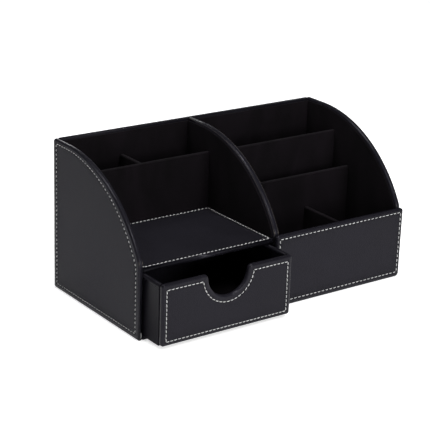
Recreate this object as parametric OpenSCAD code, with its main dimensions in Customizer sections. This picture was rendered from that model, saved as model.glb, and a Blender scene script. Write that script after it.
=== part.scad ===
// Desk organizer with a drawer: fibreboard panels wrapped in leather, lined with velvet.
// X runs to the right, Y to the back and Z up, in millimetres. The origin is the centre
// of the case's underside. The drawer is drawn standing open by drawer_open.

/* [Case] */
// Width over the two side panels
case_w = 290; // [250:5:400]
// Depth from the front panel's face to the back panel's rear face
case_d = 146; // [138:2:180]
// Height of the side panels at the back
case_h = 141; // [128:1:160]
// Length of the flat stretch behind the arch, on top of the sides
flat_top = 24; // [12:1:36]
// Height of the arch's foot above the front panel's top edge
arch_rise = 1.5; // [0:0.5:6]

/* [Panels] */
// Thickness of a side panel
side_t = 5; // [4:0.5:8]
// Thickness of the back panel
back_t = 5; // [4:0.5:8]
// Thickness of the middle divider
divider_t = 6; // [4:0.5:10]
// Distance of the middle divider's centre to the right of the case's centre
divider_x = -0.75; // [-20:0.25:20]
// Thickness of the base board in its cover
base_t = 2.4; // [2.2:0.2:5]
// Thickness of the front panel
front_panel_t = 5; // [4:0.5:8]
// Height of the front panel
front_panel_h = 68; // [62:1:76]

/* [Shelf and drawer] */
// Height of the shelf's top face
shelf_h = 64.5; // [56:0.5:80]
// Thickness of the shelf
shelf_t = 4; // [3:0.5:6]
// Distance that the drawer stands open
drawer_open = 27.5; // [0:0.5:60]
// Thickness of the drawer's front
drawer_front_t = 5; // [4:0.5:8]
// Thickness of the drawer's other walls
drawer_wall_t = 4; // [3:0.5:6]
// Thickness of the drawer's bottom board
drawer_bottom_t = 2.5; // [1.5:0.5:4]
// Gap at each side of the drawer
drawer_side_gap = 0.6; // [0.4:0.1:2]
// Gap under the drawer
drawer_under_gap = 0.3; // [0.2:0.1:1]
// Gap between the drawer and the shelf
drawer_over_gap = 1.7; // [0.8:0.1:4]
// Gap behind the shut drawer
drawer_back_gap = 3.5; // [1:0.5:10]
// Radius of the finger notch
notch_r = 21; // [12:1:24]
// Depth of the notch's centre below the drawer's top edge
notch_drop = 2; // [0:0.5:6]
// Radius of the round at the notch's mouth
notch_mouth_r = 4; // [2:0.5:8]

/* [Compartments] */
// Thickness of the velvet-covered dividers
cross_t = 4; // [3:0.5:6]
// Depth of the pen slots behind the shelf
pen_slot_d = 31.7; // [24:0.1:40]
// Height of the divider in front of the pen slots
pen_divider_h = 118; // [90:1:122]
// Width of the left pen slot
pen_slot_w = 60.2; // [30:0.1:90]
// Height of the split between the pen slots
pen_split_h = 117.5; // [60:0.5:120]
// Depth of the rear right compartment
rear_slot_d = 38.5; // [25:0.5:45]
// Height of the divider in front of it
rear_divider_h = 119.5; // [95:0.5:122]
// Depth of the middle right compartment
middle_slot_d = 19.2; // [12:0.1:26]
// Height of the divider in front of it
middle_divider_h = 89.5; // [70:0.5:94]
// Width of the left cell in the front row
front_cell_w = 84; // [40:1:100]
// Height of the split between the cells of the front row
front_split_h = 57; // [30:1:66]

/* [Covering] */
// Thickness of the leather
leather_t = 0.6; // [0.4:0.1:1]
// Thickness of the velvet
velvet_t = 0.8; // [0.4:0.1:1]
// Thickness of the cloth under the base
cloth_t = 0.6; // [0.4:0.1:1.2]
// Width of the leather edge that the velvet leaves bare
lining_inset = 2.5; // [1:0.5:6]
// Radius of the soft edges of a wrapped panel
edge_r = 1.2; // [0.9:0.1:1.5]
// Radius of the outer corners of the sides, front panel and drawer front
corner_r = 4; // [2:0.5:8]

/* [Hidden] */
$fn = 96;
// Sides of the full circle whose quarter softens an arched panel's edge: its flats meet
// in straight lines where the arch runs into the flat top
edge_sides = 12;

leather = "#2c2b30";
velvet = "#131114";
fibreboard = "#8a6c4a";
cloth = "#1b1b1d";

// Planes of the case
side_x = case_w / 2;
inner_x = side_x - side_t;
divider_left_x = divider_x - divider_t / 2;
divider_right_x = divider_x + divider_t / 2;
panel_front_y = -case_d / 2;
front_y = panel_front_y + front_panel_t;
rear_y = case_d / 2;
back_y = rear_y - back_t;
base_top = cloth_t + base_t;
shelf_under = shelf_h - shelf_t;

// The arch is a circle that leaves the flat top smoothly and passes through its foot
arch_y = rear_y - flat_top;
arch_run = arch_y - front_y;
arch_drop = case_h - front_panel_h - arch_rise;
arch_r = (arch_run * arch_run + arch_drop * arch_drop) / (2 * arch_drop);
arch_z = case_h - arch_r;

// Faces of the linings and dividers
lined_back_y = back_y - velvet_t;
lined_front_y = front_y + velvet_t;
lined_left_x = -inner_x + velvet_t;
lined_right_x = inner_x - velvet_t;
floor_z = base_top + velvet_t;
pen_divider_y = lined_back_y - pen_slot_d - cross_t;
pen_split_x = lined_left_x + pen_slot_w;
rear_divider_y = lined_back_y - rear_slot_d - cross_t;
mid_divider_y = rear_divider_y - middle_slot_d - cross_t;
front_split_x = divider_right_x + velvet_t + front_cell_w;

// The drawer, in the place where it stands
drawer_left_x = -inner_x + drawer_side_gap;
drawer_right_x = divider_left_x - drawer_side_gap;
drawer_under_z = base_top + drawer_under_gap;
drawer_top_z = shelf_under - drawer_over_gap;
drawer_front_y = front_y - drawer_open;
drawer_rear_y = pen_divider_y - drawer_back_gap - drawer_open;
drawer_wall_y = drawer_front_y + drawer_front_t;
drawer_floor_z = drawer_under_z + drawer_bottom_t;
notch_x = (drawer_left_x + drawer_right_x) / 2;
notch_z = drawer_top_z - notch_drop;

// Each straight board as the lowest and highest corner of its cover
base = [[-inner_x, front_y, cloth_t], [inner_x, back_y, base_top]];
back = [[-inner_x, back_y, 0], [inner_x, rear_y, case_h]];
shelf = [[-inner_x, front_y, shelf_under], [divider_left_x, pen_divider_y, shelf_h]];
front_panel = [[divider_left_x, panel_front_y, 0], [side_x, front_y, front_panel_h]];
pen_divider = [
    [lined_left_x, pen_divider_y, base_top],
    [divider_left_x - velvet_t, pen_divider_y + cross_t, pen_divider_h]
];
pen_split = [
    [pen_split_x, pen_divider_y + cross_t, floor_z],
    [pen_split_x + cross_t, lined_back_y, pen_split_h]
];
rear_divider = [
    [divider_right_x + velvet_t, rear_divider_y, floor_z],
    [lined_right_x, rear_divider_y + cross_t, rear_divider_h]
];
mid_divider = [
    [divider_right_x + velvet_t, mid_divider_y, floor_z],
    [lined_right_x, mid_divider_y + cross_t, middle_divider_h]
];
front_split = [
    [front_split_x, lined_front_y, floor_z],
    [front_split_x + cross_t, mid_divider_y, front_split_h]
];
drawer_front = [
    [drawer_left_x, drawer_front_y, drawer_under_z],
    [drawer_right_x, drawer_wall_y, drawer_top_z]
];
drawer_left = [
    [drawer_left_x, drawer_wall_y, drawer_under_z],
    [drawer_left_x + drawer_wall_t, drawer_rear_y, drawer_top_z]
];
drawer_right = [
    [drawer_right_x - drawer_wall_t, drawer_wall_y, drawer_under_z],
    [drawer_right_x, drawer_rear_y, drawer_top_z]
];
drawer_back = [
    [drawer_left_x + drawer_wall_t, drawer_rear_y - drawer_wall_t, drawer_under_z],
    [drawer_right_x - drawer_wall_t, drawer_rear_y, drawer_top_z]
];

// ---- Shapes that the pieces share ----

// A rectangle with round corners, its lowest corner at the origin
module soft_rect(w, h, r) {
    translate([r, 0])
        square([w - 2 * r, h]);
    translate([0, r])
        square([w, h - 2 * r]);
    for (x = [r, w - r])
        for (y = [r, h - r])
            translate([x, y])
                circle(r);
}

// A plate drawn in Y and Z that stands at x and is t thick
module plate_x(x, t) {
    translate([x, 0, 0])
        rotate([90, 0, 90])
            linear_extrude(t)
                children();
}

// A plate drawn in X and Z that stands at y and is t thick
module plate_y(y, t) {
    translate([0, y + t, 0])
        rotate([90, 0, 0])
            linear_extrude(t)
                children();
}

// A board with soft long edges, which runs along X
module board_along_x(box) {
    size = box[1] - box[0];
    translate(box[0])
        plate_x(0, size.x)
            soft_rect(size.y, size.z, min([edge_r, size.y / 3, size.z / 3]));
}

// A board with soft long edges, which runs along Y
module board_along_y(box) {
    size = box[1] - box[0];
    translate(box[0])
        plate_y(0, size.y)
            soft_rect(size.x, size.z, min([edge_r, size.x / 3, size.z / 3]));
}

// A board that faces the front, with soft edges all round and round corners
module front_board(box) {
    size = box[1] - box[0];
    translate(box[0])
        intersection() {
            plate_y(0, size.y)
                soft_rect(size.x, size.z, corner_r);
            plate_x(0, size.x)
                soft_rect(size.y, size.z, edge_r);
            linear_extrude(size.z)
                soft_rect(size.x, size.y, edge_r);
        }
}

// The board inside such a front, whose corners follow the leather's
module front_core(box) {
    size = box[1] - box[0] - 2 * [leather_t, leather_t, leather_t];
    translate(box[0] + [leather_t, leather_t, leather_t])
        plate_y(0, size.y)
            soft_rect(size.x, size.z, corner_r - leather_t);
}

// The board inside a cover that is wall thick
module core_box(box, wall) {
    size = box[1] - box[0];
    translate(box[0] + [wall, wall, wall])
        cube(size - 2 * [wall, wall, wall]);
}

// Leather round the board in a box; the cover's outer shape is the child
module leather_cover(box) {
    color(leather)
        difference() {
            children();
            core_box(box, leather_t);
        }
}

module leather_core(box) {
    color(fibreboard)
        core_box(box, leather_t);
}

// Velvet round the board in a box; the cover's outer shape is the child
module velvet_cover(box) {
    color(velvet)
        difference() {
            children();
            core_box(box, velvet_t);
        }
}

module velvet_core(box) {
    color(fibreboard)
        core_box(box, velvet_t);
}

// A flat sheet of velvet between two corners
module velvet_sheet(low, high) {
    color(velvet)
        translate(low)
            cube(high - low);
}

// ---- The arched panels: both sides and the middle divider ----

// Outline of an arched panel in Y and Z, drawn in by inset all round
module arch_outline(low_z, end_y, inset) {
    intersection() {
        union() {
            translate([arch_y, arch_z])
                circle(arch_r - inset);
            translate([arch_y, low_z])
                square([end_y - arch_y, case_h - low_z]);
        }
        translate([front_y + inset, low_z + inset])
            square([end_y - front_y - 2 * inset, case_h - low_z - 2 * inset]);
    }
}

// A disc that stands on its rim, whose soft edge gives the arch its round top
module arch_disc(t) {
    translate([0, arch_y, arch_z])
        rotate([0, 90, 0])
            rotate_extrude()
                intersection() {
                    translate([-arch_r, 0])
                        soft_rect(2 * arch_r, t, edge_r, $fn = edge_sides);
                    square([arch_r, t]);
                }
}

// An upright plate with soft edges, whose corners are round seen from the side
module soft_plate(t, deep, tall, r) {
    intersection() {
        plate_x(0, t)
            soft_rect(deep, tall, r);
        plate_y(0, deep)
            soft_rect(t, tall, edge_r, $fn = edge_sides);
        linear_extrude(tall)
            soft_rect(t, deep, edge_r, $fn = edge_sides);
    }
}

// The whole arched panel with soft edges: under the arch a plate cut round by the disc,
// and behind it the plate with the flat top
module arch_panel(t, low_z, end_y, outer_r) {
    tall = case_h - low_z;
    flat = end_y - arch_y;
    intersection() {
        arch_disc(t);
        translate([0, front_y, low_z])
            soft_plate(t, arch_run + flat, tall + case_h, outer_r);
        translate([0, front_y, low_z])
            cube([t, arch_run, tall]);
    }
    intersection() {
        translate([0, front_y, low_z])
            soft_plate(t, arch_run + flat, tall, outer_r);
        translate([0, arch_y, low_z])
            cube([t, flat, tall]);
    }
}

// The board inside a side, whose corners follow the leather's
module side_core() {
    plate_x(leather_t, side_t - 2 * leather_t)
        intersection() {
            arch_outline(0, rear_y, leather_t);
            translate([front_y + leather_t, leather_t])
                soft_rect(
                    rear_y - front_y - 2 * leather_t,
                    case_h - 2 * leather_t,
                    corner_r - leather_t
                );
        }
}

module side_cover() {
    color(leather)
        difference() {
            arch_panel(side_t, 0, rear_y, corner_r);
            side_core();
        }
}

module left_side_cover() {
    translate([-side_x, 0, 0])
        side_cover();
}

module left_side_board() {
    color(fibreboard)
        translate([-side_x, 0, 0])
            side_core();
}

module right_side_cover() {
    translate([inner_x, 0, 0])
        side_cover();
}

module right_side_board() {
    color(fibreboard)
        translate([inner_x, 0, 0])
            side_core();
}

module middle_divider_cover() {
    color(leather)
        translate([divider_left_x, 0, 0])
            difference() {
                arch_panel(divider_t, base_top, back_y, edge_r);
                divider_core();
            }
}

module divider_core() {
    plate_x(leather_t, divider_t - 2 * leather_t)
        arch_outline(base_top, back_y, leather_t);
}

module middle_divider_board() {
    color(fibreboard)
        translate([divider_left_x, 0, 0])
            divider_core();
}

// ---- Velvet on the arched panels, glued on inside a bare leather edge ----

// Velvet over a whole face, down to the base
module full_lining(x) {
    color(velvet)
        plate_x(x, velvet_t)
            intersection() {
                arch_outline(base_top - lining_inset, rear_y, lining_inset);
                translate([front_y, base_top])
                    square([lined_back_y - front_y, case_h]);
            }
}

// Velvet over the face of the left bay, which stops on the shelf
module bay_lining(x) {
    color(velvet)
        plate_x(x, velvet_t)
            intersection() {
                arch_outline(base_top - lining_inset, rear_y, lining_inset);
                union() {
                    translate([front_y, shelf_h])
                        square([lined_back_y - front_y, case_h]);
                    translate([pen_divider_y, base_top])
                        square([lined_back_y - pen_divider_y, case_h]);
                }
            }
}

module left_side_lining() {
    bay_lining(-inner_x);
}

module divider_left_lining() {
    bay_lining(divider_left_x - velvet_t);
}

module divider_right_lining() {
    full_lining(divider_right_x);
}

module right_side_lining() {
    full_lining(lined_right_x);
}

// ---- Base, back, shelf and front panel ----

module base_cover() {
    leather_cover(base)
        board_along_x(base);
}

module base_board() {
    leather_core(base);
}

module underside_cloth() {
    color(cloth)
        translate([-inner_x, front_y, 0])
            cube([2 * inner_x, back_y - front_y, cloth_t]);
}

module back_cover() {
    leather_cover(back)
        board_along_x(back);
}

module back_board() {
    leather_core(back);
}

module shelf_cover() {
    leather_cover(shelf)
        board_along_x(shelf);
}

module shelf_board() {
    leather_core(shelf);
}

module front_panel_cover() {
    color(leather)
        difference() {
            front_board(front_panel);
            front_core(front_panel);
        }
}

module front_panel_board() {
    color(fibreboard)
        front_core(front_panel);
}

module back_left_lining() {
    velvet_sheet(
        [-inner_x, lined_back_y, base_top],
        [divider_left_x, back_y, case_h - lining_inset]
    );
}

module back_right_lining() {
    velvet_sheet(
        [divider_right_x, lined_back_y, base_top],
        [inner_x, back_y, case_h - lining_inset]
    );
}

module pen_floor_lining() {
    velvet_sheet(
        [lined_left_x, pen_divider_y + cross_t, base_top],
        [divider_left_x - velvet_t, lined_back_y, floor_z]
    );
}

module right_floor_lining() {
    velvet_sheet(
        [divider_right_x + velvet_t, lined_front_y, base_top],
        [lined_right_x, lined_back_y, floor_z]
    );
}

module front_panel_lining() {
    velvet_sheet(
        [divider_right_x, front_y, base_top],
        [inner_x, lined_front_y, front_panel_h - lining_inset]
    );
}

// ---- Velvet-covered dividers ----

module pen_divider_cover() {
    velvet_cover(pen_divider)
        board_along_x(pen_divider);
}

module pen_divider_board() {
    velvet_core(pen_divider);
}

module pen_split_cover() {
    velvet_cover(pen_split)
        board_along_y(pen_split);
}

module pen_split_board() {
    velvet_core(pen_split);
}

module rear_divider_cover() {
    velvet_cover(rear_divider)
        board_along_x(rear_divider);
}

module rear_divider_board() {
    velvet_core(rear_divider);
}

module mid_divider_cover() {
    velvet_cover(mid_divider)
        board_along_x(mid_divider);
}

module mid_divider_board() {
    velvet_core(mid_divider);
}

module front_split_cover() {
    velvet_cover(front_split)
        board_along_y(front_split);
}

module front_split_board() {
    velvet_core(front_split);
}

// ---- Drawer ----

// The finger notch in X and Z, wider by grow all round, with a rounded mouth
module notch_outline(grow) {
    bowl_r = notch_r + grow;
    mouth_r = notch_mouth_r - grow;
    mouth_drop = notch_drop - notch_mouth_r;
    mouth_x = sqrt(pow(notch_r + notch_mouth_r, 2) - mouth_drop * mouth_drop);
    mouth_top = notch_drop + notch_mouth_r;
    translate([notch_x, notch_z]) {
        circle(bowl_r);
        for (side = [-1, 1])
            difference() {
                polygon([
                    [0, 0],
                    [side * mouth_x, mouth_drop],
                    [side * mouth_x, mouth_top],
                    [0, mouth_top]
                ]);
                translate([side * mouth_x, mouth_drop])
                    circle(mouth_r);
            }
    }
}

module drawer_front_cover() {
    color(leather)
        difference() {
            front_board(drawer_front);
            plate_y(drawer_front_y, drawer_front_t)
                notch_outline(0);
            drawer_front_core();
        }
}

module drawer_front_core() {
    difference() {
        front_core(drawer_front);
        plate_y(drawer_front_y, drawer_front_t)
            notch_outline(leather_t);
    }
}

module drawer_front_board() {
    color(fibreboard)
        drawer_front_core();
}

module drawer_left_cover() {
    leather_cover(drawer_left)
        board_along_y(drawer_left);
}

module drawer_left_board() {
    leather_core(drawer_left);
}

module drawer_right_cover() {
    leather_cover(drawer_right)
        board_along_y(drawer_right);
}

module drawer_right_board() {
    leather_core(drawer_right);
}

module drawer_back_cover() {
    leather_cover(drawer_back)
        board_along_x(drawer_back);
}

module drawer_back_board() {
    leather_core(drawer_back);
}

module drawer_bottom() {
    color(fibreboard)
        translate([drawer_left[1].x, drawer_wall_y, drawer_under_z])
            cube([
                drawer_right[0].x - drawer_left[1].x,
                drawer_back[0].y - drawer_wall_y,
                drawer_bottom_t
            ]);
}

module drawer_floor_lining() {
    velvet_sheet(
        [drawer_left[1].x, drawer_wall_y, drawer_floor_z],
        [drawer_right[0].x, drawer_back[0].y, drawer_floor_z + velvet_t]
    );
}

base_cover();
base_board();
underside_cloth();
back_cover();
back_board();
left_side_cover();
left_side_board();
right_side_cover();
right_side_board();
middle_divider_cover();
middle_divider_board();
shelf_cover();
shelf_board();
front_panel_cover();
front_panel_board();
pen_divider_cover();
pen_divider_board();
pen_split_cover();
pen_split_board();
rear_divider_cover();
rear_divider_board();
mid_divider_cover();
mid_divider_board();
front_split_cover();
front_split_board();
left_side_lining();
divider_left_lining();
divider_right_lining();
right_side_lining();
back_left_lining();
back_right_lining();
pen_floor_lining();
right_floor_lining();
front_panel_lining();
drawer_front_cover();
drawer_front_board();
drawer_left_cover();
drawer_left_board();
drawer_right_cover();
drawer_right_board();
drawer_back_cover();
drawer_back_board();
drawer_bottom();
drawer_floor_lining();
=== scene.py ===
import math
import random

import bmesh
import bpy
from mathutils import Matrix, Vector


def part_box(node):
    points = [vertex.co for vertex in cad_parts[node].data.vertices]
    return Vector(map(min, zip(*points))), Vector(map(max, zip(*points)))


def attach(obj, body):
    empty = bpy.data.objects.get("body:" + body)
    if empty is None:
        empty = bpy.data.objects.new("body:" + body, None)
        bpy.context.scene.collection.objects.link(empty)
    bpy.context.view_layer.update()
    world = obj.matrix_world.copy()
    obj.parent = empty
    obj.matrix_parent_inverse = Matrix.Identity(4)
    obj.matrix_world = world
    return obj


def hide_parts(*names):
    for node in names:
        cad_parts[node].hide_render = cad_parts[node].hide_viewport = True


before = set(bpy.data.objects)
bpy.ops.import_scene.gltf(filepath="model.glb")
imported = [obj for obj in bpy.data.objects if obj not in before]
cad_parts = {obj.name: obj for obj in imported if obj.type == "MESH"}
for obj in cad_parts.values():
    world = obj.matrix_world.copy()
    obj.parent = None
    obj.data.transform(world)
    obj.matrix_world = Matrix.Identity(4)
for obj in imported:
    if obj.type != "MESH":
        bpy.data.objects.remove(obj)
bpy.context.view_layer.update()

# ---- Left side: an arched fibreboard panel in black imitation leather ----
# One sheet of leather is pulled over the board's edges, which come out soft and a little
# shinier than the faces. The outer face has a shallow channel all round, pressed by the foot
# of the sewing machine, for a seam in light thread.

leather_black = (0.0100, 0.0093, 0.0130, 1)
leather_rough = 0.52
leather_shine = 0.13
leather_gleam = (0.91, 0.89, 1.0, 1)
pebbles_per_metre, pores_per_metre = 620, 3200
wrinkles_per_metre, clouds_per_metre = 75, 18
pebble_bends_per_metre = 420
pebble_bend = (0.0016, 0.0016, 0.0016)
pebble_shoulder = 0.22
pore_height, wrinkle_height = 0.35, 1.2
# Painted shade: the grain's creases are darkened to this share of the colour, more so beside a
# seam.
crease_shade_tone = 0.4
cloud_range, cloud_tones = (0.3, 0.7), (0.82, 1.18)
cloud_matting = 0.12
plain_grain = 0.35
rim_polish, rim_flattening = 0.31, 0.28
leather_relief = (1.0, 0.0002)


def empty_material(name):
    """A new material and its tree, with no nodes in it."""
    material = bpy.data.materials.new(name)
    material.use_nodes = True
    material.node_tree.nodes.clear()
    return material, material.node_tree


def feed(tree, node, inputs):
    """Fills a node's inputs, each with a plain value or with the output of another node."""
    for socket, given in inputs.items():
        if isinstance(given, bpy.types.NodeSocket):
            tree.links.new(given, node.inputs[socket])
        else:
            node.inputs[socket].default_value = given
    return node


def noise(tree, place, scale, detail=2, roughness=0.5, distortion=0):
    """The outputs of a noise with scale patches to the metre."""
    return feed(tree, tree.nodes.new("ShaderNodeTexNoise"), {
        "Vector": place, "Scale": scale, "Detail": detail, "Roughness": roughness,
        "Distortion": distortion,
    }).outputs


def reckon(tree, operation, *terms):
    """The result of one sum, whose terms are numbers or other nodes' outputs."""
    node = tree.nodes.new("ShaderNodeMath")
    node.operation = operation
    return feed(tree, node, dict(enumerate(terms))).outputs[0]


def spread(tree, value, low, high, new_low=0, new_high=1, smooth=False):
    """Spreads the values from low to high over a new range, straight or in a smooth step."""
    node = tree.nodes.new("ShaderNodeMapRange")
    node.interpolation_type = "SMOOTHSTEP" if smooth else "LINEAR"
    return feed(tree, node, {
        "Value": value, "From Min": low, "From Max": high, "To Min": new_low, "To Max": new_high,
    }).outputs["Result"]


def mix(tree, share, first, second, way="MIX"):
    """The second colour laid over the first by a share."""
    node = tree.nodes.new("ShaderNodeMix")
    node.data_type = "RGBA"
    node.blend_type = way
    return feed(tree, node, {"Factor": share, "A": first, "B": second}).outputs["Result"]


def toned(colour, share):
    """A colour made darker, or lighter where the share is over 1."""
    return [channel * share for channel in colour[:3]] + [1]


def place_on_piece(tree):
    """The place on the piece, in metres."""
    return tree.nodes.new("ShaderNodeTexCoord").outputs["Object"]


def mark(tree, name):
    """A mark from 0 to 1 that the piece's mesh holds."""
    node = tree.nodes.new("ShaderNodeAttribute")
    node.attribute_name = name
    return node.outputs["Fac"]


def lay_surface(tree, height, relief, inputs):
    """The surface of a material, with the strength and depth of its relief."""
    strength, depth = relief
    bump = tree.nodes.new("ShaderNodeBump")
    feed(tree, bump, {"Strength": strength, "Distance": depth, "Height": height})
    surface = tree.nodes.new("ShaderNodeBsdfPrincipled")
    feed(tree, surface, {**inputs, "Normal": bump.outputs["Normal"]})
    output = tree.nodes.new("ShaderNodeOutputMaterial")
    feed(tree, output, {"Surface": surface.outputs["BSDF"]})


def leather_grain_group():
    """Pebbled grain for pressed leather: its height, its creases, which the leather paints darker
    as painted shade, and a slow cloudiness.
    """
    group = bpy.data.node_groups.new("leather_grain", "ShaderNodeTree")
    new_socket = group.interface.new_socket
    new_socket("Vector", in_out="INPUT", socket_type="NodeSocketVector")
    fineness = new_socket("Pebbles per metre", in_out="INPUT", socket_type="NodeSocketFloat")
    fineness.default_value = pebbles_per_metre
    for label in ("Height", "Crease", "Cloud"):
        new_socket(label, in_out="OUTPUT", socket_type="NodeSocketFloat")
    given = group.nodes.new("NodeGroupInput").outputs
    place = given["Vector"]
    bent = group.nodes.new("ShaderNodeVectorMath")
    bent.operation = "MULTIPLY_ADD"
    bends = noise(group, place, pebble_bends_per_metre)
    feed(group, bent, {0: bends["Color"], 1: pebble_bend, 2: place})
    pebbles = group.nodes.new("ShaderNodeTexVoronoi")
    pebbles.feature = "DISTANCE_TO_EDGE"
    feed(group, pebbles, {"Vector": bent.outputs[0], "Scale": given["Pebbles per metre"]})
    rise = spread(group, pebbles.outputs["Distance"], 0, pebble_shoulder, smooth=True)
    pores = noise(group, place, pores_per_metre, detail=3)["Fac"]
    wrinkles = noise(group, place, wrinkles_per_metre, detail=4)["Fac"]
    with_pores = reckon(group, "MULTIPLY_ADD", pores, pore_height, rise)
    feed(group, group.nodes.new("NodeGroupOutput"), {
        "Height": reckon(group, "MULTIPLY_ADD", wrinkles, wrinkle_height, with_pores),
        "Crease": reckon(group, "SUBTRACT", 1, rise),
        "Cloud": noise(group, place, clouds_per_metre, detail=5, roughness=0.6)["Fac"],
    })
    return group


def leather_material(name, colour, roughness, shine):
    """Matt black leather. It is smoother where the rim attribute says that it is stretched over
    an edge, and its grain is gathered up where the press attribute marks the sides of a seam. The
    grain's creases are painted darker, a painted shade, most of all beside a seam."""
    material, tree = empty_material(name)
    grain = tree.nodes.new("ShaderNodeGroup")
    grain.node_tree = leather_grain
    feed(tree, grain, {"Vector": place_on_piece(tree)})
    cloud = grain.outputs["Cloud"]
    rim, press = mark(tree, "rim"), mark(tree, "press")
    gathered = reckon(tree, "MULTIPLY_ADD", press, 1 - plain_grain, plain_grain)
    crease_shade = reckon(tree, "MULTIPLY", grain.outputs["Crease"], gathered)
    # Painted shade: the colour is darker in the grain's creases.
    tint = mix(tree, crease_shade, colour, toned(colour, crease_shade_tone))
    shade = spread(tree, cloud, *cloud_range, *cloud_tones)
    polish = reckon(tree, "MULTIPLY_ADD", rim, -rim_polish, roughness)
    pulled_flat = reckon(tree, "MULTIPLY_ADD", rim, -rim_flattening, gathered)
    height = reckon(tree, "MULTIPLY", grain.outputs["Height"], pulled_flat)
    lay_surface(tree, height, leather_relief, {
        "Base Color": mix(tree, 1, tint, shade, "MULTIPLY"),
        "Roughness": reckon(tree, "MULTIPLY_ADD", cloud, cloud_matting, polish),
        "Specular IOR Level": shine,
        "Specular Tint": leather_gleam,
    })
    return material


leather_grain = leather_grain_group()
leather = leather_material("black_leather", leather_black, leather_rough, leather_shine)

X, Y, Z = Vector((1, 0, 0)), Vector((0, 1, 0)), Vector((0, 0, 1))
edge_round, edge_steps = 0.0020, 5
corner_round, corner_steps = 0.0026, 5
flat_top = 0.024
arch_rise = 0.0015
foot_round = 0.0034
arch_steps = 40
channel_half = 0.0008
channel_depth = 0.00045
gather = 0.005
rim_width = 0.001
flat_enough = 0.999
face_weight = 60
anywhere = (-math.inf, math.inf)

side_low, side_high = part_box("left_side_cover")
front_y, rear_y = side_low.y, side_high.y
case_h = side_high.z
arch_y = rear_y - flat_top
arch_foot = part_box("front_panel_cover")[1].z + arch_rise
arch_run, arch_drop = arch_y - front_y, case_h - arch_foot
arch_r = (arch_run ** 2 + arch_drop ** 2) / (2 * arch_drop)
arch_z = case_h - arch_r


def draw_line(bm, moves):
    """Draws a closed line on the drawing plane: each move is a point, or a turn about a centre."""
    verts = []
    for move in moves:
        if len(move) == 2:
            verts.append(bm.verts.new((move[0], move[1], 0)))
            continue
        centre_u, centre_v, angle, steps = move
        turned = bmesh.ops.spin(
            bm, geom=[verts[-1]], cent=(centre_u, centre_v, 0), axis=Z, dvec=(0, 0, 0),
            angle=angle, steps=steps, use_merge=False, use_duplicate=False,
        )["geom_last"]
        chain = [verts[-1]]
        while turned[0] not in chain:
            onward = [e.other_vert(chain[-1]) for e in chain[-1].link_edges]
            chain += [v for v in onward if v not in verts and v not in chain]
        verts += chain[1:]
    edges = []
    for here, there in zip(verts, verts[1:] + verts[:1]):
        edges.append(bm.edges.get((here, there)) or bm.edges.new((here, there)))
    return verts, edges


def finish_mesh(bm, name, material, axes, origin):
    """Turns the drawing plane to its place in the case and makes the object."""
    turn = Matrix.Identity(4)
    for column, axis in enumerate(axes):
        turn.col[column] = (*axis, 0)
    bmesh.ops.transform(bm, matrix=Matrix.Translation(origin) @ turn, verts=bm.verts)
    bmesh.ops.recalc_face_normals(bm, faces=bm.faces)
    for face in bm.faces:
        face.smooth = True
    mesh = bpy.data.meshes.new(name)
    bm.to_mesh(mesh)
    bm.free()
    mesh.materials.append(material)
    piece = bpy.data.objects.new(name, mesh)
    bpy.context.scene.collection.objects.link(piece)
    even = piece.modifiers.new("even_shading", "WEIGHTED_NORMAL")
    even.mode = "FACE_AREA"
    even.weight = face_weight
    return piece


def press_channel(bm, face, seam, gathered):
    """Presses a seam's channel in the outer face, with the leather gathered up along it."""
    press = bm.verts.layers.float["press"]
    hem = list(face.edges)
    bmesh.ops.delete(bm, geom=[face], context="FACES_ONLY")
    lip_verts, lip = draw_line(bm, seam(-channel_half))
    for vert in lip_verts:
        vert[press] = 1
    inside = bmesh.ops.contextual_create(bm, geom=lip)["faces"]
    bmesh.ops.triangle_fill(bm, use_beauty=True, use_dissolve=False, edges=hem + lip)
    bmesh.ops.recalc_face_normals(bm, faces=bm.faces)
    for depth in (-channel_depth, channel_depth):
        bmesh.ops.inset_region(
            bm, faces=inside, thickness=channel_half, depth=depth, use_even_offset=True,
        )
    bmesh.ops.inset_region(bm, faces=inside, thickness=gathered, depth=0, use_even_offset=True)
    for vert in inside[0].verts:
        vert[press] = 0


def wrapped_board(
    name, outline, thick, axes, origin, corners=(), seam=None, soft_span=anywhere,
    soft=edge_round, gathered=gather,
):
    """A leather-wrapped board. The outline is drawn on its outer face, and corners are the points
    of it that are rounded, with their radii. seam draws the seam's line, with the leather gathered
    for that width inside it. The edges within soft_span of the drawing's height are soft, by the
    radius soft, and the rest butt on other boards."""
    bm = bmesh.new()
    rim = bm.verts.layers.float.new("rim")
    bm.verts.layers.float.new("press")
    verts, edges = draw_line(bm, outline)
    bmesh.ops.contextual_create(bm, geom=edges)
    for index, radius in corners:
        bmesh.ops.bevel(
            bm, geom=[verts[index]], offset=radius, segments=corner_steps, profile=0.5,
            affect="VERTICES", offset_type="OFFSET", material=-1,
        )
    made = bmesh.ops.extrude_face_region(bm, geom=list(bm.faces))["geom"]
    back = [v for v in made if isinstance(v, bmesh.types.BMVert)]
    bmesh.ops.translate(bm, vec=(0, 0, -thick), verts=back)
    bmesh.ops.recalc_face_normals(bm, faces=bm.faces)
    edges = {
        e for f in bm.faces if abs(f.normal.z) > flat_enough for e in f.edges
        if all(soft_span[0] <= v.co.y <= soft_span[1] for v in e.verts)
    }
    rounded = bmesh.ops.bevel(
        bm, geom=list(edges), offset=soft, segments=edge_steps,
        profile=0.5, affect="EDGES", offset_type="OFFSET", material=-1, clamp_overlap=True,
    )
    for vert in rounded["verts"]:
        vert[rim] = 1
    flats = [f for f in bm.faces if abs(f.normal.z) > flat_enough]
    for face in sorted(flats, key=lambda f: -f.calc_area())[:2]:
        if seam and face.normal.z > 0:
            press_channel(bm, face, seam, gathered)
        else:
            bmesh.ops.inset_region(
                bm, faces=[face], thickness=rim_width, depth=0, use_even_offset=True,
            )
    piece = finish_mesh(bm, name, leather, axes, origin)
    return piece


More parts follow.
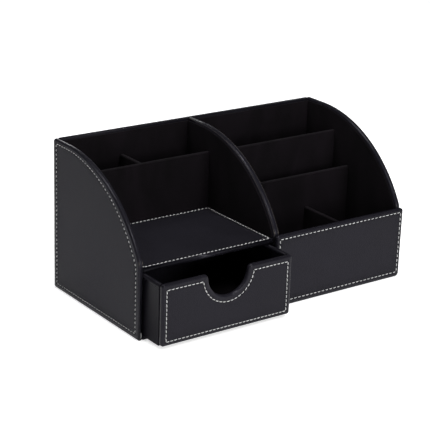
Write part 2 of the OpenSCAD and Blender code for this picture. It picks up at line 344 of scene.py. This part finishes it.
def arch_outline(low, high_z, front, rear):
    """Outline of an arched panel in Y and Z, with the arch as one turn."""
    reach = math.asin((arch_y - front) / arch_r)
    return [
        (front, low), (rear, low), (rear, high_z), (arch_y, high_z),
        (arch_y, arch_z, reach, arch_steps),
    ]


def arch_seam(low_in, rear_in, arch_in, front_in, drift_y, drift_z):
    """The seam's line on an arched panel, each stretch at its own distance from the edge. Its
    arch drifts from the panel's, so that it leaves a wider edge towards the foot."""
    centre_y, centre_z = arch_y + drift_y, arch_z + drift_z

    def line(more):
        front, rear = front_y + front_in + more, rear_y - rear_in - more
        radius = arch_r - arch_in - more
        reach = math.asin((centre_y - front) / radius)
        return [
            (front, low_in + more), (rear, low_in + more), (rear, centre_z + radius),
            (centre_y, centre_z + radius), (centre_y, centre_z, reach, arch_steps),
        ]
    return line


side_seam = arch_seam(
    low_in=0.0052, rear_in=0.0058, arch_in=0.0043, front_in=0.0046,
    drift_y=0.0022, drift_z=0.0007,
)
side_outline = arch_outline(0, case_h, front_y, rear_y)
foot = len(side_outline) - 2 + arch_steps
side_corners = [(foot, foot_round), (2, corner_round), (1, corner_round)]
side_t = side_high.x - side_low.x
left_side = wrapped_board(
    "left_side", side_outline, side_t, (Y, Z, -X), (side_low.x, 0, 0), side_corners, side_seam,
)
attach(left_side, "case")
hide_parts("left_side_cover")

# ---- Seam of the left side: light polyester thread in a lockstitch ----
# Each stitch is a bow of two-ply thread that dives into the leather at both ends, four
# millimetres on from the last. The sides have shorter stitches than the other panels, and a
# seam turns each corner in a needle hole.

thread_colour = (0.91, 0.91, 0.90, 1)
thread_r, thread_sides = 0.00034, 7
ply_lean = math.radians(35)
ply_turns = 6
# Painted shade: the grooves between the plies are darkened to this share of the colour.
ply_groove_shade = 0.62
fuzz_per_metre, fuzz_height = 9000, 0.3
thread_relief = (0.6, 0.00012)
stitch_pitch = 0.0040
short_length, long_length = 0.0020, 0.0030
stitch_bow, bow_steps = 0.0009, 6
stitch_slant = math.radians(5)
turn_wander, lift_wander = 0.03, 0.00004
sharp_turn = math.radians(20)
sewing = random.Random(7)


def thread_material(name, colour):
    """Two-ply polyester thread: the plies wind round the stitch's own UV map, and the grooves
    between them are painted darker as painted shade.
    """
    material, tree = empty_material(name)
    round_thread = tree.nodes.new("ShaderNodeUVMap")
    round_thread.uv_map = "thread"
    wound = tree.nodes.new("ShaderNodeMapping")
    feed(tree, wound, {"Vector": round_thread.outputs["UV"], "Rotation": (0, 0, ply_lean)})
    waves = tree.nodes.new("ShaderNodeTexWave")
    waves.wave_profile = "SIN"
    feed(tree, waves, {"Vector": wound.outputs["Vector"], "Scale": 1.3, "Distortion": 0.4})
    ply = waves.outputs["Fac"]
    fuzz = noise(tree, place_on_piece(tree), fuzz_per_metre)["Fac"]
    height = reckon(tree, "MULTIPLY_ADD", fuzz, fuzz_height, ply)
    lay_surface(tree, height, thread_relief, {
        # Painted shade in the grooves between the plies.
        "Base Color": mix(tree, ply, toned(colour, ply_groove_shade), colour),
        "Roughness": 0.55,
        "Sheen Weight": 0.2,
    })
    return material


def one_stitch(length):
    """A bow of thread along X that ends under the plane it is sewn on."""
    bm = bmesh.new()
    bow_r = length ** 2 / (8 * stitch_bow) + stitch_bow / 2
    half = math.asin(length / 2 / bow_r)
    ring = bmesh.ops.create_circle(bm, segments=thread_sides, radius=thread_r)["verts"]
    bmesh.ops.rotate(bm, verts=ring, cent=(0, 0, 0), matrix=Matrix.Rotation(math.pi / 2, 3, "Y"))
    bmesh.ops.translate(bm, verts=ring, vec=(0, 0, bow_r))
    bmesh.ops.rotate(bm, verts=ring, cent=(0, 0, 0), matrix=Matrix.Rotation(-half, 3, "Y"))
    bmesh.ops.spin(
        bm, geom=list(bm.edges), cent=(0, 0, 0), axis=Y, angle=2 * half, steps=bow_steps,
        use_merge=False, use_duplicate=False,
    )
    bmesh.ops.holes_fill(bm, edges=bm.edges, sides=thread_sides)
    round_thread = bm.loops.layers.uv.new("thread")
    for face in bm.faces:
        for loop in face.loops:
            lean = math.atan2(loop.vert.co.x, loop.vert.co.z)
            across = math.hypot(loop.vert.co.x, loop.vert.co.z) - bow_r
            around = math.atan2(across, loop.vert.co.y) / (2 * math.pi)
            loop[round_thread].uv = (lean * bow_r / length * ply_turns, around)
    bmesh.ops.translate(bm, verts=bm.verts, vec=(0, 0, -bow_r + stitch_bow / 2))
    bmesh.ops.recalc_face_normals(bm, faces=bm.faces)
    for face in bm.faces:
        face.smooth = True
    mesh = bpy.data.meshes.new("one_stitch")
    bm.to_mesh(mesh)
    bm.free()
    return mesh


def seam_runs(seam):
    """The points of a seam's line, as one run from each sharp corner to the next."""
    bm = bmesh.new()
    verts, _ = draw_line(bm, seam(0))
    points = [v.co.copy() for v in verts]
    bm.free()
    count = len(points)
    turns = [
        (points[i] - points[i - 1]).angle(points[(i + 1) % count] - points[i])
        for i in range(count)
    ]
    corners = [i for i, turn in enumerate(turns) if turn > sharp_turn]
    return [
        [points[i % count] for i in range(start, end + 1)]
        for start, end in zip(corners, corners[1:] + [corners[0] + count])
    ]


short_stitch, long_stitch = one_stitch(short_length), one_stitch(long_length)


def sew(name, seam, axes, origin, body, pitch=stitch_pitch, stitch=long_stitch):
    """Sews stitches at an even pitch along each run of a seam, each turned and sunk a little
    differently."""
    bm = bmesh.new()
    for run in seam_runs(seam):
        steps = [(there - here).length for here, there in zip(run, run[1:])]
        count = max(1, round(sum(steps) / pitch))
        for index in range(count):
            along = (index + 0.5) / count * sum(steps)
            leg = 0
            while along > steps[leg]:
                along -= steps[leg]
                leg += 1
            way = (run[leg + 1] - run[leg]).normalized()
            place = run[leg] + way * along
            wander = sewing.uniform(-turn_wander, turn_wander)
            turn = Matrix.Rotation(math.atan2(way.y, way.x) + stitch_slant + wander, 4, "Z")
            lift = sewing.uniform(-lift_wander, lift_wander) - channel_depth
            first = len(bm.verts)
            bm.from_mesh(stitch)
            bm.verts.ensure_lookup_table()
            bmesh.ops.transform(
                bm, verts=bm.verts[first:],
                matrix=Matrix.Translation((place.x, place.y, lift)) @ turn,
            )
    piece = finish_mesh(bm, name, thread, axes, origin)
    piece.modifiers.clear()
    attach(piece, body)


thread = thread_material("light_thread", thread_colour)
sew("left_side_seam", side_seam, (Y, Z, -X), (side_low.x, 0, 0), "case", stitch=short_stitch)

# ---- Tack: one stitch at the foot of the left side's front edge ----
# It is a bow of the same thread, longer and thinner than a seam's stitch, and is sewn upright
# through the leather where that is turned in at the foot.

tack_in = 0.0018
tack_length = 0.0045
tack_z = 0.0042
tack_thin = 0.7
bm = bmesh.new()
bm.from_mesh(long_stitch)
stretch = Matrix.Diagonal((tack_length / long_length, tack_thin, tack_thin, 1))
bmesh.ops.transform(bm, verts=bm.verts, matrix=stretch)
tack_place = (side_high.x - tack_in, front_y, tack_z)
tack = finish_mesh(bm, "left_side_tack", thread, (Z, -X, -Y), tack_place)
tack.modifiers.clear()
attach(tack, "case")

# ---- Right side: the same arched panel, mirrored ----
# It is glued to the base and the back panel as the left side is, with its seam on the right
# face. The low front panel covers the foot of its front edge.

right_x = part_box("right_side_cover")[1].x
right_side = wrapped_board(
    "right_side", side_outline, side_t, (Y, Z, X), (right_x, 0, 0), side_corners, side_seam,
)
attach(right_side, "case")
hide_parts("right_side_cover")
sew("right_side_seam", side_seam, (Y, Z, X), (right_x, 0, 0), "case", stitch=short_stitch)

# ---- Middle divider: the same arch, in leather that the velvet leaves bare at the edge ----
# It stands on the base and ends at the back panel. Its faces are lined with velvet on both
# sides, so it has no seam.

divider_edge = 0.0023
divider_low, divider_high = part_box("middle_divider_cover")
divider_outline = arch_outline(divider_low.z, case_h, front_y, divider_high.y)
middle_divider = wrapped_board(
    "middle_divider", divider_outline, divider_high.x - divider_low.x, (Y, Z, X),
    (divider_high.x, 0, 0), [(foot, foot_round)], soft=divider_edge,
)
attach(middle_divider, "case")
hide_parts("middle_divider_cover")

# ---- Back panel, shelf and low front panel: straight leather-wrapped boards ----
# The back stands between the sides, in a darker leather with less shine, whose darker colour is
# # partly painted shade, and the shelf roofs the drawer's bay. The front panel is glued on from
# # outside, over the edges of the divider and the right side.

# Partly painted shade: this darker copy of the leather darkens the drawer's walls, which stand in
# the case's shade, and the back's top edge.
quiet_shaded_black = (0.0072, 0.0066, 0.0092, 1)
quiet_shine = 0.05
back_edge, shelf_edge = 0.0014, 0.0018
front_edge_only = (0, 0)
back_seam_in = (0.0045, 0.0045, 0.0045, 0.0045)
shelf_seam_in = (0.0024, 0.0024, 0.0036, 0.0024)
panel_seam_in = (0.0035, 0.0035, 0.0050, 0.0036)
panel_corners = (corner_round, 0.004, corner_round, corner_round)
panel_pitch = 0.0045


def straight_board(
    name, node, axes, radii=None, seam_in=None, body="case", soft_span=anywhere,
    soft=edge_round, pitch=stitch_pitch,
):
    """A rectangular wrapped board for a node. axes are its width, its height and the way out of
    its outer face. radii are those of the corners, from the low left one on to the right and up,
    and seam_in is how far in the seam runs at the left, right, low and high edges."""
    low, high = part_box(node)
    width, height, thick = (
        sum(abs(axis[i]) * (high[i] - low[i]) for i in range(3)) for axis in axes
    )
    origin = [high[i] if axes[2][i] > 0 else low[i] for i in range(3)]
    outline = [(0, 0), (width, 0), (width, height), (0, height)]

    def seam(more):
        left, right, low_in, high_in = (inset + more for inset in seam_in)
        return [
            (left, low_in), (width - right, low_in),
            (width - right, height - high_in), (left, height - high_in),
        ]
    corners = [(index, radii[index]) for index in (3, 2, 1, 0)] if radii else ()
    sewn = seam if seam_in else None
    piece = wrapped_board(name, outline, thick, axes, origin, corners, sewn, soft_span, soft)
    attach(piece, body)
    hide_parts(node)
    if seam_in:
        sew(name + "_seam", seam, axes, origin, body, pitch)
    return piece


quiet_shaded_leather = leather_material("quiet_shaded_leather", quiet_shaded_black, leather_rough, quiet_shine)
back_panel = straight_board(
    "back_panel", "back_cover", (X, Z, Y), seam_in=back_seam_in, soft=back_edge,
)
# Partly painted shade: the back gets the darker leather.
back_panel.data.materials[0] = quiet_shaded_leather
straight_board(
    "shelf", "shelf_cover", (X, Y, Z), seam_in=shelf_seam_in, soft_span=front_edge_only,
    soft=shelf_edge,
)
straight_board(
    "front_panel", "front_panel_cover", (X, Z, -Y), panel_corners, panel_seam_in,
    pitch=panel_pitch,
)

# ---- Velvet: the linings and the covered dividers ----
# Short black pile, glued flat on the boards and folded over the tops of the dividers. The
# pile is brushed in slow patches, and its edges catch a little grey light.

velvet_black = (0.0033, 0.0023, 0.0033, 1)
velvet_tones = (0.55, 1.7)
pile_per_metre = 2600
pile_share = 0.5
patches_per_metre = (38, 38, 14)
patch_range = (0.3, 0.7)
pile_relief = (0.5, 0.0002)
covered_boards = (
    "pen_divider_cover", "pen_split_cover", "rear_divider_cover", "mid_divider_cover",
    "front_split_cover",
)


def velvet_material(name, colour):
    """Short pile: rough and dark, with soft sheen where it turns away."""
    material, tree = empty_material(name)
    place = place_on_piece(tree)
    pile = noise(tree, place, pile_per_metre, detail=3)
    combed = tree.nodes.new("ShaderNodeMapping")
    feed(tree, combed, {"Vector": place, "Scale": patches_per_metre})
    brushed = noise(tree, combed.outputs["Vector"], scale=1, detail=4, distortion=0.8)["Fac"]
    lay = spread(tree, brushed, *patch_range)
    patches = mix(tree, lay, *(toned(colour, tone) for tone in velvet_tones))
    lay_surface(tree, pile["Fac"], pile_relief, {
        "Base Color": mix(tree, pile_share, patches, pile["Color"], "OVERLAY"),
        "Roughness": 0.9,
        "Specular IOR Level": 0.1,
        "Sheen Weight": 0.06,
        "Sheen Roughness": 0.4,
        "Sheen Tint": (0.55, 0.52, 0.56, 1),
    })
    return material


def dress(names, material):
    """Gives CAD nodes, whose shape is right, their finish."""
    for name in names:
        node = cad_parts[name]
        node.data.materials.clear()
        node.data.materials.append(material)


velvet = velvet_material("black_velvet", velvet_black)
dress([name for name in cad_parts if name.endswith("_lining")], velvet)
dress(covered_boards, velvet)

# ---- Base: a wrapped board with a sheet of felt under it ----
# The base is a fibreboard in leather that shows only in the drawer's bay. The felt is glued
# under it and keeps it from scratching the desk.

felt_black = (0.014, 0.014, 0.015, 1)
felt_tones = (0.5, 1.9)
felt_relief = (0.7, 0.0003)


def fibre_material(name, colour, tones, relief, gloss, **fibres):
    """Pressed fibres lying in all directions, flecked from the dark to the light tone."""
    material, tree = empty_material(name)
    flecks = noise(tree, place_on_piece(tree), **fibres)["Fac"]
    flecked = mix(tree, flecks, *(toned(colour, tone) for tone in tones))
    lay_surface(tree, flecks, relief, {"Base Color": flecked, **gloss})
    return material


felt = fibre_material(
    "black_felt", felt_black, felt_tones, felt_relief, {"Roughness": 0.95, "Sheen Weight": 0.2},
    scale=900, detail=6, distortion=2.5,
)
dress(["base_cover"], leather)
dress(["underside_cloth"], felt)

# ---- Boards inside the covers, and the drawer's bottom: dyed fibreboard ----
# Pressed wood fibre, dyed dark. Only the drawer's bottom board shows, from below, where it is
# glued between the walls. The others are sealed in their covers.

fibre_dark = (0.030, 0.024, 0.019, 1)
fibre_tones = (0.55, 1.8)
fibre_relief = (0.3, 0.0001)

fibreboard = fibre_material(
    "dyed_fibreboard", fibre_dark, fibre_tones, fibre_relief, {"Roughness": 0.75},
    scale=700, detail=8, roughness=0.75,
)
dress([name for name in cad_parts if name.endswith("_board")] + ["drawer_bottom"], fibreboard)

# ---- Drawer front: a wrapped board with a finger notch ----
# The leather is cut and turned in round the notch, whose mouth comes out well rounded,
# and the seam follows the notch at an even distance.

notch_r, notch_steps = 0.021, 36
notch_drop = 0.002
mouth_r, mouth_steps = 0.004, 6
notch_gather = 0.002
seam_side, seam_low, seam_top, seam_notch = 0.0045, 0.0040, 0.0053, 0.0055

drawer_low, drawer_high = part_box("drawer_front_cover")
drawer_w, drawer_h = drawer_high.x - drawer_low.x, drawer_high.z - drawer_low.z
middle = drawer_w / 2
notch_v = drawer_h - notch_drop
mouth_v = drawer_h - mouth_r
mouth_u = math.sqrt((notch_r + mouth_r) ** 2 - (mouth_v - notch_v) ** 2)
mouth_turn = math.atan2(mouth_u, notch_v - mouth_v)

drawer_outline = [
    (0, 0), (drawer_w, 0), (drawer_w, drawer_h), (middle + mouth_u, drawer_h),
    (middle + mouth_u, mouth_v, mouth_turn, mouth_steps),
    (middle, notch_v, -2 * mouth_turn, notch_steps),
    (middle - mouth_u, mouth_v, mouth_turn, mouth_steps),
    (0, drawer_h),
]


def drawer_seam(more):
    """The seam's line on the drawer front, down round the notch."""
    left, right = seam_side + more, drawer_w - seam_side - more
    low, top = seam_low + more, drawer_h - seam_top - more
    radius = notch_r + seam_notch + more
    dip = math.asin((top - notch_v) / radius)
    reach = radius * math.cos(dip)
    return [
        (left, low), (right, low), (right, top), (middle + reach, top),
        (middle, notch_v, -(math.pi + 2 * dip), notch_steps), (left, top),
    ]


drawer_axes = (X, Z, -Y)
drawer_corners = [(index, corner_round) for index in (-1, 2, 1, 0)]
drawer_front = wrapped_board(
    "drawer_front", drawer_outline, drawer_high.y - drawer_low.y, drawer_axes,
    drawer_low, drawer_corners, drawer_seam, gathered=notch_gather,
)
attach(drawer_front, "drawer")
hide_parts("drawer_front_cover")
sew("drawer_front_seam", drawer_seam, drawer_axes, drawer_low, "drawer")

# ---- Drawer walls: wrapped boards as high as the front ----
# They have the back panel's darker leather, whose colour paints the shade that falls on them
# # beside the case, and no seam. They are glued to one another and behind the front, so that only
# # their top edges are soft. The bottom board and its velvet lie between them.

wall_edge = 0.0018
top_only = 0.0001

for name, axes in (
    ("drawer_left", (Y, Z, X)), ("drawer_right", (Y, Z, X)), ("drawer_back", (X, Z, Y)),
):
    low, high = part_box(name + "_cover")
    wall = straight_board(
        name, name + "_cover", axes, body="drawer",
        soft_span=(high.z - low.z - top_only, math.inf), soft=wall_edge,
    )
    # Painted shade: the darker leather stands for the shade on the drawer's walls.
    wall.data.materials[0] = quiet_shaded_leather

# ---- Floor, light and camera ----
# A pale floor under soft studio light: one lamp overhead, two in front, a faint one behind
# and one high on the left. The camera stands where the photograph was taken from.

floor_white = (0.95, 0.95, 0.95, 1)
floor_glow = 0.63
floor_half = 6.0
bm = bmesh.new()
bmesh.ops.create_grid(bm, x_segments=1, y_segments=1, size=floor_half)
floor_mesh = bpy.data.meshes.new("floor")
bm.to_mesh(floor_mesh)
bm.free()
floor = bpy.data.objects.new("floor", floor_mesh)
bpy.context.scene.collection.objects.link(floor)

pale_floor, tree = empty_material("pale_floor")
# The glow is for the camera and for mirror and clear rays alone, which see the floor white.
rays = tree.nodes.new("ShaderNodeLightPath").outputs
mirrored = reckon(tree, "MAXIMUM", rays["Is Camera Ray"], rays["Is Glossy Ray"])
seen = reckon(tree, "MAXIMUM", mirrored, rays["Is Transmission Ray"])
diffuse = feed(tree, tree.nodes.new("ShaderNodeBsdfDiffuse"), {"Color": floor_white})
white = tree.nodes.new("ShaderNodeEmission")
feed(tree, white, {"Strength": reckon(tree, "MULTIPLY", seen, floor_glow)})
both = tree.nodes.new("ShaderNodeAddShader")
feed(tree, both, {0: diffuse.outputs["BSDF"], 1: white.outputs["Emission"]})
output = tree.nodes.new("ShaderNodeOutputMaterial")
feed(tree, output, {"Surface": both.outputs["Shader"]})
floor_mesh.materials.append(pale_floor)

room_tint = (0.95, 0.97, 1.0, 1)
room_heights, room_glow = (0.05, 0.32), (0.6, 0.12)
world = bpy.data.worlds.new("studio")
bpy.context.scene.world = world
world.use_nodes = True
tree = world.node_tree
tree.nodes.clear()
towards = tree.nodes.new("ShaderNodeTexCoord").outputs["Generated"]
rise = feed(tree, tree.nodes.new("ShaderNodeSeparateXYZ"), {0: towards}).outputs["Z"]
glow = spread(tree, rise, *room_heights, *room_glow, smooth=True)
room = tree.nodes.new("ShaderNodeBackground")
feed(tree, room, {"Color": room_tint, "Strength": glow})
backdrop = feed(tree, tree.nodes.new("ShaderNodeBackground"), {"Strength": 1.0})
mixed = feed(tree, tree.nodes.new("ShaderNodeMixShader"), {
    "Fac": tree.nodes.new("ShaderNodeLightPath").outputs["Is Camera Ray"],
    1: room.outputs["Background"],
    2: backdrop.outputs["Background"],
})
output = tree.nodes.new("ShaderNodeOutputWorld")
feed(tree, output, {"Surface": mixed.outputs["Shader"]})


def softbox(name, place, aim, size, power):
    """A rectangular area lamp at place, turned to aim."""
    lamp = bpy.data.lights.new(name, "AREA")
    lamp.shape = "RECTANGLE"
    lamp.size, lamp.size_y = size
    lamp.energy = power
    holder = bpy.data.objects.new(name, lamp)
    holder.location = place
    holder.rotation_mode = "QUATERNION"
    holder.rotation_quaternion = (Vector(aim) - Vector(place)).to_track_quat("-Z", "Y")
    bpy.context.scene.collection.objects.link(holder)


softbox("overhead", (-0.05, 0.0, 1.6), aim=(0, 0, 0.05), size=(0.45, 0.45), power=11)
softbox("high_front", (0.1, -1.0, 1.2), aim=(0, 0, 0.06), size=(0.35, 0.35), power=8)
softbox("low_front", (0.1, -1.5, 0.4), aim=(0, 0, 0.06), size=(0.6, 0.4), power=9)
softbox("behind", (0.72, 1.45, 0.64), aim=(-0.1, 0.06, 0.14), size=(0.3, 0.25), power=1)
softbox("high_left", (-0.75, 0.35, 1.1), aim=(0, 0, 0.06), size=(0.3, 0.3), power=3)

camera_azimuth, camera_elevation, camera_roll = (math.radians(a) for a in (-36.28, 19.68, 1.91))
camera_place = Vector((-0.77223, -1.02623, 0.52397))
photo_px = 430
focal_px = 1491.98
film_width = 36
nearest_seen = 0.01
lens = bpy.data.cameras.new("camera")
lens.sensor_width = film_width
lens.lens = focal_px / photo_px * film_width
lens.clip_start = nearest_seen
camera = bpy.data.objects.new("camera", lens)
bpy.context.scene.collection.objects.link(camera)
away = Vector((
    math.sin(camera_azimuth) * math.cos(camera_elevation),
    -math.cos(camera_azimuth) * math.cos(camera_elevation),
    math.sin(camera_elevation),
))
level = Vector((math.cos(camera_azimuth), math.sin(camera_azimuth), 0))
upright = away.cross(level)
right = level * math.cos(camera_roll) + upright * math.sin(camera_roll)
up = upright * math.cos(camera_roll) - level * math.sin(camera_roll)
camera_turn = Matrix((right, up, away)).transposed().to_4x4()
camera.matrix_world = Matrix.Translation(camera_place) @ camera_turn
bpy.context.scene.camera = camera
bpy.context.scene.view_settings.view_transform = "Standard"
